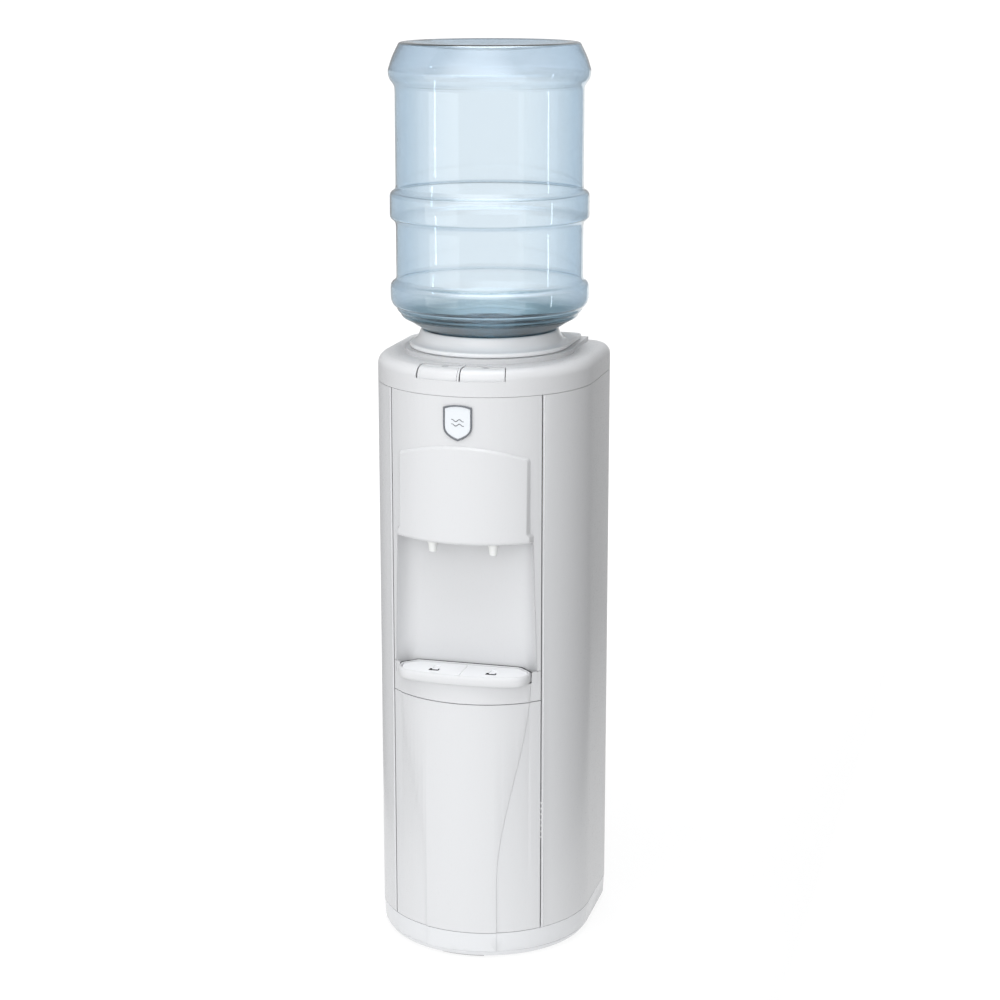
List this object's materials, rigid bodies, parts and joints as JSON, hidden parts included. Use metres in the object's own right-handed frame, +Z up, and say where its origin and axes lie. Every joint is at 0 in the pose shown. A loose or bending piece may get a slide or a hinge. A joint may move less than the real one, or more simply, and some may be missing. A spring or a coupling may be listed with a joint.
{
  "type": "water dispenser",
  "caption": "Floor-standing top-loading water dispenser with an inverted bottle, push-button taps in an alcove, a pull-out drip tray and a cooling unit inside.",
  "frame": {"origin": "on the floor, under the centre of the bounding box, which is the axis of the bowed front", "axes": "+Z up, the front with the taps faces -Y, +X is the viewer's right when facing the front"},
  "size_m": [0.298, 0.312, 1.243],
  "materials": {
    "white_shell": "satin gloss",
    "back_steel": "matt",
    "rubber": "matt",
    "bezel_chrome": "polished",
    "badge_face": "gloss",
    "axle_steel": "bright",
    "tap_white": "satin",
    "rod_grey": "satin",
    "spring_steel": "bright",
    "silicone": "satin",
    "bottle_clear": "clear",
    "cap_blue": "satin",
    "stainless": "brushed",
    "copper": "dull",
    "foam": "matt",
    "zinc_steel": "zinc plated",
    "black_steel": "satin",
    "black_plastic": "satin",
    "wire_black": "matt",
    "rocker_red": "gloss"
  },
  "bodies": {
    "cabinet": {"base_plinth": "white_shell", "foot_pads": "rubber", "front_foot": "rubber", "side_panel_left": "white_shell", "side_panel_right": "white_shell", "back_panel": "back_steel", "lower_front_panel": "white_shell", "tray_apron": "white_shell", "front_fascia": "white_shell", "dispensing_hood": "white_shell", "alcove_liner": "white_shell", "top_lid": "white_shell", "badge_bezel": "bezel_chrome", "badge_plate": "badge_face", "button_axle": "axle_steel", "tap_room": "tap_white", "tap_cold": "tap_white", "spout_room": "tap_white", "spout_cold": "tap_white", "return_spring_room": "spring_steel", "return_spring_cold": "spring_steel", "rod_guide": "tap_white", "tank_lid": "tap_white", "cold_tank": "stainless", "tank_baffle": "tap_white", "room_riser": "tap_white", "tap_hoses": "silicone", "evaporator_coil": "copper", "foam_front": "foam", "foam_rear": "foam", "tank_shelf": "zinc_steel", "compressor": "black_steel", "compressor_plate": "zinc_steel", "compressor_grommets": "rubber", "starter_box": "black_plastic", "filter_drier": "copper", "suction_line": "copper", "condenser_tube": "black_steel", "condenser_wires": "black_steel", "condenser_brackets": "zinc_steel", "thermostat": "black_plastic", "power_switch": "black_plastic", "power_inlet": "black_plastic", "drain_hose": "silicone", "drain_spout": "tap_white", "shell_screws": "axle_steel", "wiring": "wire_black"},
    "bottle": {"bottle": "bottle_clear", "bottle_cap": "cap_blue"},
    "seat": {"bottle_seat": "white_shell", "feed_probe": "tap_white", "seat_gasket": "silicone"},
    "room_button": {"button_room": "white_shell"},
    "cold_button": {"button_cold": "white_shell"},
    "room_plunger": {"plunger_room": "rod_grey"},
    "cold_plunger": {"plunger_cold": "rod_grey"},
    "tray": {"drip_tray": "white_shell"},
    "grille": {"drip_grille": "white_shell"},
    "rocker": {"switch_rocker": "rocker_red"},
    "drain_plug": {"drain_cap": "tap_white"}
  },
  "joints": [
    {"name": "seat_lift", "type": "slide", "parent": "cabinet", "child": "seat", "axis": [0, 0, 1], "range_m": [0, 0.15]},
    {"name": "bottle_lift", "type": "slide", "parent": "seat", "child": "bottle", "axis": [0, 0, 1], "range_m": [0, 0.35]},
    {"name": "room_press", "type": "hinge", "parent": "cabinet", "child": "room_button", "pos_m": [-0.042, -0.108, 0.818], "axis": [1, 0, 0], "range_deg": [0, 6], "stiffness_Nm_per_rad": 0.35, "springref_deg": -8.02},
    {"name": "cold_press", "type": "hinge", "parent": "cabinet", "child": "cold_button", "pos_m": [0.042, -0.108, 0.818], "axis": [1, 0, 0], "range_deg": [0, 6], "stiffness_Nm_per_rad": 0.35, "springref_deg": -8.02},
    {"name": "room_valve", "type": "slide", "parent": "cabinet", "child": "room_plunger", "axis": [0, 0, -1], "range_m": [0, 0.00185], "deforming": ["return_spring_room"]},
    {"name": "cold_valve", "type": "slide", "parent": "cabinet", "child": "cold_plunger", "axis": [0, 0, -1], "range_m": [0, 0.00185], "deforming": ["return_spring_cold"]},
    {"name": "tray_slide", "type": "slide", "parent": "cabinet", "child": "tray", "axis": [0, -1, 0], "range_m": [0, 0.12]},
    {"name": "grille_lift", "type": "slide", "parent": "tray", "child": "grille", "axis": [0, 0, 1], "range_m": [0, 0.06]},
    {"name": "power_rock", "type": "hinge", "parent": "cabinet", "child": "rocker", "pos_m": [-0.06, 0.136, 0.714], "axis": [1, 0, 0], "range_deg": [0, 18]},
    {"name": "drain_pull", "type": "slide", "parent": "cabinet", "child": "drain_plug", "axis": [0, 1, 0], "range_m": [0, 0.03]}
  ],
  "couplings": [
    {"joint": "room_valve", "follows": "room_press", "m_per_rad": 0.0174},
    {"joint": "cold_valve", "follows": "cold_press", "m_per_rad": 0.0174}
  ]
}
